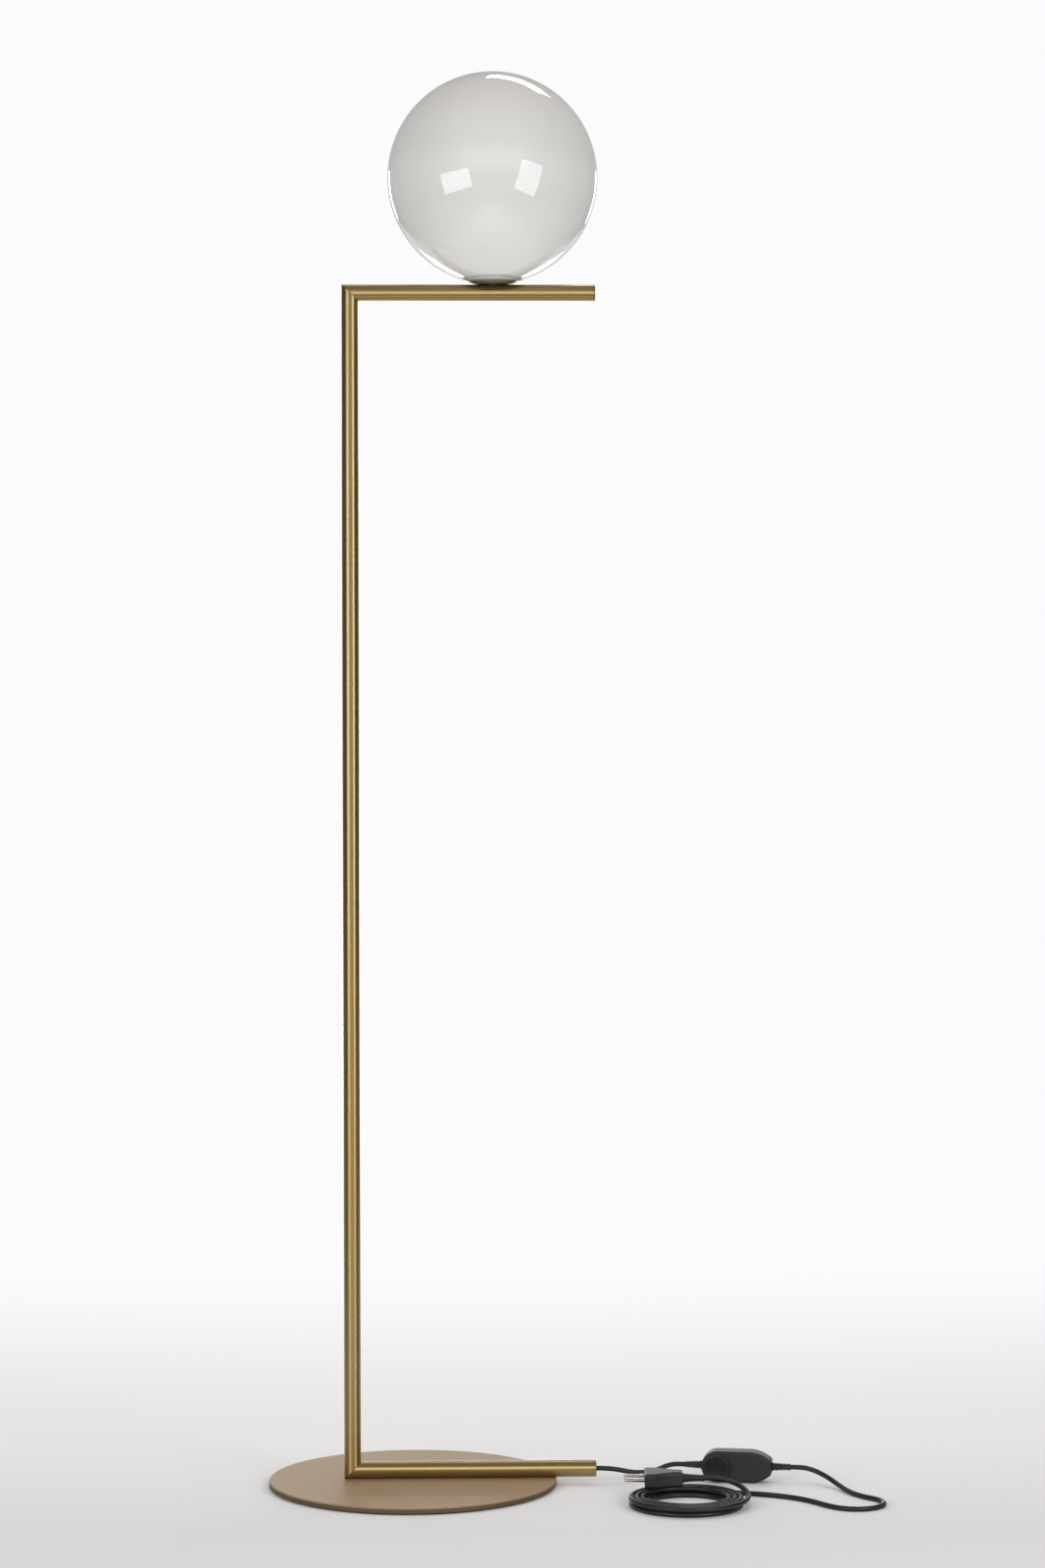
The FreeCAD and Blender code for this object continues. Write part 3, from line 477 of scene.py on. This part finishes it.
# Soft PVC strain reliefs: tapered sleeves with slots cut round them, so that they bend with the cord.
# In mm, with each root's place from the lower arm's end, and turns in degrees from +X.
reliefs = {
    "slot": 1.2,
    "ring": 1.5,  # between two slots
    "depth": 0.75,
    "collar": 2.4,  # the plain part at the root
    "bore": 2.3,  # radius
    "edge": 0.18,
    "edgeSteps": 2,
    "around": 40,  # faces
    "sleeves": [  # wide and narrow: the radius at the root and at the end
        {
            "name": "reliefLampSide", "node": "lamp_side_guard",
            "root": (102.228, 10.605, 15.0), "turn": 170.0, "length": 16.0, "wide": 4.0, "narrow": 3.0,
        },
        {
            "name": "reliefPlugSide", "node": "plug_side_guard",
            "root": (168.210, -1.030, 15.0), "turn": -10.0, "length": 18.0, "wide": 4.0, "narrow": 3.0,
        },
        {
            "name": "reliefPlug", "node": "plug_guard",
            "root": (78.512, -61.806, 17.2), "turn": -1.99, "length": 20.0, "wide": 4.5, "narrow": 3.0,
        },
    ],
}


def reliefOutline(kit, sleeve):  # half a lengthwise section: out along the slots, back along the bore
    length, wide, narrow = sleeve["length"], sleeve["wide"], sleeve["narrow"]
    outline = [(0.0, kit["bore"]), (0.0, wide)]
    along = kit["collar"]
    while along + kit["slot"] + kit["ring"] < length:
        far = along + kit["slot"]
        for place, cut in ((along, 0.0), (along, kit["depth"]), (far, kit["depth"]), (far, 0.0)):
            outline.append((place, wide + (narrow - wide) * place / length - cut))
        along += kit["slot"] + kit["ring"]
    return outline + [(length, narrow), (length, kit["bore"])]


def makeReliefs(kit):
    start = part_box("cord_outlet_cap")[1].x
    made = []
    for sleeve in kit["sleeves"]:
        shape = spunShape(reliefOutline(kit, sleeve), (1, 0, 0), kit["around"])
        place = Matrix.Translation(mm(*sleeve["root"]) + Vector((start, 0, 0)))
        turn = Matrix.Rotation(math.radians(sleeve["turn"]), 4, "Z")
        bmesh.ops.transform(shape, matrix=place @ turn, verts=shape.verts[:])
        piece = makePiece(sleeve["name"], shape, "cord_black", "frame", sleeve["node"])
        softenEdges(piece, "softEdge", kit["edge"], kit["edgeSteps"])
        made.append(piece)
    return made


sleeves = makeReliefs(reliefs)
print("strain reliefs made")

# The cord: out of the lower arm, through the dimmer, round a loop, into the coil and up to the plug.
# Places in mm from the lower arm's end on the floor.
cordLine = {
    "diameter": 4.8,
    "length": 2.5,  # m, what a floor lamp with a dimmer on its lead has
    "lead": [
        (0.0, 0.0, 14.5), (15.0, 0.0, 14.5), (37.0, 5.0, 8.5),
        (56.0, 13.0, 8.5), (72.19, 15.90, 15.0), (86.47, 13.38, 15.0),
    ],
    "run": [
        (185.94, -4.15, 15.0), (202.1, -7.0, 15.0), (218.0, -18.0, 9.5),
        (229.0, -38.0, 3.8), (236.0, -61.0, 2.4), (246.2, -81.0, 2.4),
        (262.0, -96.8, 2.4), (262.0, -119.2, 2.4), (246.2, -135.0, 2.4),
        (223.8, -135.0, 2.4), (208.0, -119.2, 2.4), (197.0, -99.0, 2.4),
        (177.0, -79.0, 2.4), (149.0, -64.5, 2.4), (119.8, -56.69, 2.4),
        (94.12, -52.58, 2.4),
    ],
    "tail": [
        (135.44, -109.90, 7.9), (138.18, -95.66, 7.9), (135.3, -81.2, 10.6),
        (126.5, -69.6, 14.2), (113.5, -63.02, 17.2), (98.5, -62.5, 17.2),
    ],
    "coilCentre": (80.0, -105.0),
    "coilOuter": 54.0,  # radius of the first turn
    "coilPitch": 5.5,  # from turn to turn and from layer to layer
    "coilStart": 80.0,  # degrees from +X
    "turnsIn": 3.0,
    "turnsUp": 0.5,
    "turnsOut": 3.25,
    "pointsPerTurn": 24,
    "order": 3,  # of the curve through the places
    "resolution": 5,  # steps from place to place
    "bevelResolution": 4,
    "pieces": [  # of the dimmer and the plug, besides the strain reliefs
        "dimmer_front", "dimmer_back", "dimmer_screws", "dimmer_knob", "dimmer_board", "dimmer_control",
        "plug_body", "plug_pins",
    ],
}


def coilTurns(line):
    pitch, turnsIn, turnsUp = line["coilPitch"], line["turnsIn"], line["turnsUp"]
    low = line["diameter"] / 2
    places = []
    for i in range(round((turnsIn + turnsUp + line["turnsOut"]) * line["pointsPerTurn"]) + 1):
        turn = i / line["pointsPerTurn"]
        climb = min(max((turn - turnsIn) / turnsUp, 0.0), 1.0)
        radius = line["coilOuter"] - pitch * min(turn, turnsIn)
        radius -= pitch * turnsUp * climb * (1 - climb)  # the climb cuts a little inside
        radius += pitch * max(turn - turnsIn - turnsUp, 0.0)
        height = low + pitch * (climb - math.sin(2 * math.pi * climb) / (2 * math.pi))
        angle = math.radians(line["coilStart"]) + 2 * math.pi * turn
        x = line["coilCentre"][0] + radius * math.cos(angle)
        y = line["coilCentre"][1] + radius * math.sin(angle)
        places.append((x, y, height))
    return places


def makeCord(line):
    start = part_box("cord_outlet_cap")[1].x
    places = line["lead"] + line["run"] + coilTurns(line) + line["tail"]
    curve = bpy.data.curves.new("cord", "CURVE")
    curve.dimensions = "3D"
    curve.bevel_depth = 1.0  # m, times each point's radius
    curve.bevel_resolution = line["bevelResolution"]
    curve.resolution_u = line["resolution"]
    curve.use_fill_caps = True
    spline = curve.splines.new("NURBS")
    spline.points.add(len(places) - 1)
    for point, place in zip(spline.points, places):
        point.co = (start + mm(place[0]), mm(place[1]), mm(place[2]), 1.0)
        point.radius = mm(line["diameter"] / 2)
    spline.order_u = line["order"]
    spline.use_endpoint_u = True
    spline.resolution_u = line["resolution"]
    cord = bpy.data.objects.new("cord", curve)
    scene.collection.objects.link(cord)
    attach(cord, "frame")
    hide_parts("cord_lead", "cord_run", "cord_coil", "cord_tail")
    curve.materials.append(finishes["cord_black"])


makeCord(cordLine)
print("cord made")

# Studio: a pale sweep that turns white with distance in a dim room, soft boxes either side of the
# camera, and lights behind
studio = {
    "floorSize": 30.0,  # m from the middle to each side
    "floorPaper": {"shader": {"Roughness": 0.9, "Specular IOR Level": 0.1}},
    # painted light: the paper is greyer near the camera and paler behind the lamp, for how the light
    # falls off
    "floorNear": "#DCDAD9",
    "floorMiddle": "#ECEAE9",
    "floorChange": (-0.2, 0.2),  # m back from the base's middle, from near to middle
    "white": "#FCFBFC",
    "whiteBack": (0.05, 1.5),  # m back, from where the floor starts to brighten to where it is white
    "whiteRound": (1.0, 2.2),  # m all round the lamp, where it turns white for the other views
    "ambient": 0.62,
    "roomTones": [  # what gloss shows in front of the lamp: sine of the height above the level, tone
        (-0.2, 0.6), (0.02, 0.7), (0.17, 1.35), (0.32, 1.35), (0.48, 0.45), (1.0, 0.35),
    ],
    "behindEdge": (-0.3, 0.2),  # cosine of the angle from straight behind: front, behind
    "behindTones": (0.3, 0.5),  # ceiling, backdrop
    "backdropEdge": (0.86, 0.96),  # cosine of the angle from straight behind: ceiling, backdrop
    "sideTone": 0.1,
    "sideEdge": (0.45, 0.8),  # sine of the angle to the side
    "floorEdge": (0.5, 1.2),  # m to the sides, where the floor gives way to the room in gloss
    "floorSpread": 0.4,  # the lit floor widens by this much for each metre back
    "frontLit": (-0.35, -1.0),  # m back, where the floor before the lamp brightens in gloss
    "frontTone": 1.5,
    "middle": Vector((0.08, 0.0, 1.25)),  # what the boxes face
    # turn: degrees round the lamp from the camera's side, to the right. rise: above the level.
    # distance and size: m.
    "boxes": [
        {
            "name": "leftBox", "turn": -41, "rise": -9.5, "roll": 7,
            "distance": 2.3, "size": (1.35, 0.8), "light": 5.5,
        },
        {
            "name": "rightBox", "turn": 39, "rise": -6.5, "roll": -13,
            "distance": 2.3, "size": (1.0, 1.3), "light": 5.0,
        },
        {
            "name": "backBox", "turn": 162, "rise": 49, "roll": 0,
            "distance": 2.5, "size": (1.15, 0.48), "light": 7.0,
        },
        {
            "name": "leftStrip", "turn": -155, "rise": 4, "roll": 0,
            "distance": 1.9, "size": (0.16, 0.4), "light": 9.0,
        },
        {
            "name": "rightStrip", "turn": 155, "rise": 4, "roll": 0,
            "distance": 1.9, "size": (0.16, 0.4), "light": 9.0,
        },
        {
            "name": "sweepGlow", "turn": 180, "rise": -21, "roll": 0,
            "distance": 2.6, "size": (2.2, 0.6), "light": 3.5,
        },
    ],
}


def makeFloor(kit):
    shape = bmesh.new()
    bmesh.ops.create_grid(shape, x_segments=1, y_segments=1, size=kit["floorSize"])
    mesh = bpy.data.meshes.new("floor")
    shape.to_mesh(mesh)
    shape.free()
    floor = bpy.data.objects.new("floor", mesh)
    scene.collection.objects.link(floor)
    made, tree, body = newMaterial("paperSweep", kit["floorPaper"])
    mesh.materials.append(made)
    surface = body.outputs["BSDF"]
    output = surface.links[0].to_socket
    place, axes = placeAndAxes(tree)
    ray = addNode(tree, "ShaderNodeLightPath").outputs

    # Painted light: the paper's colour lightens from near the camera to behind the lamp
    near, middle = hexColour(kit["floorNear"]), hexColour(kit["floorMiddle"])
    tone = mixColours(tree, fitRange(tree, axes["Y"], kit["floorChange"]), near, middle)
    tree.links.new(tone, body.inputs["Base Color"])

    # White behind the lamp, to the camera and in gloss, and white all round, to the camera alone
    seen = calculate(tree, "MAXIMUM", ray["Is Camera Ray"], ray["Is Glossy Ray"])
    back = fitRange(tree, axes["Y"], kit["whiteBack"], interpolation_type="SMOOTHSTEP")
    reach = addNode(tree, "ShaderNodeVectorMath", {0: place}, operation="LENGTH").outputs["Value"]
    outer = fitRange(tree, reach, kit["whiteRound"], interpolation_type="SMOOTHSTEP")
    behind = calculate(tree, "MULTIPLY", seen, back)
    around = calculate(tree, "MULTIPLY", ray["Is Camera Ray"], outer)
    glow = addNode(tree, "ShaderNodeEmission", {"Color": hexColour(kit["white"]), "Strength": 1.0})
    surface = mixShaders(tree, calculate(tree, "MAXIMUM", behind, around), surface, glow.outputs[0])

    # In gloss, the floor is lit before the lamp, and ends at the sides in the dim room
    front = fitRange(tree, axes["Y"], kit["frontLit"])
    lit = calculate(tree, "MULTIPLY", front, ray["Is Glossy Ray"])
    shine = addNode(tree, "ShaderNodeEmission", {"Strength": kit["frontTone"]})
    surface = mixShaders(tree, lit, surface, shine.outputs[0])
    aside = calculate(tree, "ABSOLUTE", axes["X"])
    outwards = calculate(tree, "MULTIPLY_ADD", axes["Y"], -kit["floorSpread"], aside)
    past = calculate(tree, "MULTIPLY", fitRange(tree, outwards, kit["floorEdge"]), ray["Is Glossy Ray"])
    room = addNode(tree, "ShaderNodeEmission", {"Strength": kit["sideTone"]})
    tree.links.new(mixShaders(tree, past, surface, room.outputs[0]), output)


def makeWorld(kit):
    world = bpy.data.worlds.new("studio")
    scene.world = world
    world.use_nodes = True
    tree = world.node_tree
    tree.nodes.clear()
    ray = addNode(tree, "ShaderNodeLightPath").outputs
    axes = placeAndAxes(tree, "Generated")[1]

    # What gloss shows: the lit room in front, the ceiling and the backdrop behind, dim sides
    level = fitRange(tree, axes["Z"], (-1.0, 1.0))
    tones = [((height + 1) / 2, (tone, tone, tone, 1.0)) for height, tone in kit["roomTones"]]
    room = addRamp(tree, level, tones)
    behind = fitRange(tree, axes["Y"], kit["backdropEdge"], kit["behindTones"])
    middle = mixColours(tree, fitRange(tree, axes["Y"], kit["behindEdge"]), room, behind)
    dim = [kit["sideTone"]] * 3 + [1.0]
    aside = calculate(tree, "ABSOLUTE", axes["X"])
    whole = mixColours(tree, fitRange(tree, aside, kit["sideEdge"]), middle, dim)

    gloss = addNode(tree, "ShaderNodeBackground", {"Color": whole, "Strength": 1.0})
    backdrop = addNode(tree, "ShaderNodeBackground", {"Color": hexColour(kit["white"]), "Strength": 1.0})
    ambient = addNode(tree, "ShaderNodeBackground", {
        "Color": hexColour("#FFFFFF"), "Strength": kit["ambient"],
    })
    unseen = mixShaders(tree, ray["Is Glossy Ray"], ambient.outputs[0], gloss.outputs[0])
    both = mixShaders(tree, ray["Is Camera Ray"], unseen, backdrop.outputs[0])
    addNode(tree, "ShaderNodeOutputWorld", {"Surface": both})


def makeBoxes(kit):
    for box in kit["boxes"]:
        turn, rise = math.radians(box["turn"]), math.radians(box["rise"])
        level = math.cos(rise)
        towards = Vector((math.sin(turn) * level, -math.cos(turn) * level, math.sin(rise)))
        data = bpy.data.lights.new(box["name"], "AREA")
        data.shape = "RECTANGLE"
        data.size, data.size_y = box["size"]
        data.energy = box["light"] * math.pi * data.size * data.size_y
        lamp = bpy.data.objects.new(box["name"], data)
        lamp.location = kit["middle"] + towards * box["distance"]
        facing = (-towards).to_track_quat("-Z", "Y") @ Quaternion((0, 0, 1), math.radians(box["roll"]))
        lamp.rotation_euler = facing.to_euler()
        lamp.visible_camera = False
        scene.collection.objects.link(lamp)


makeFloor(studio)
makeWorld(studio)
makeBoxes(studio)
print("studio set")
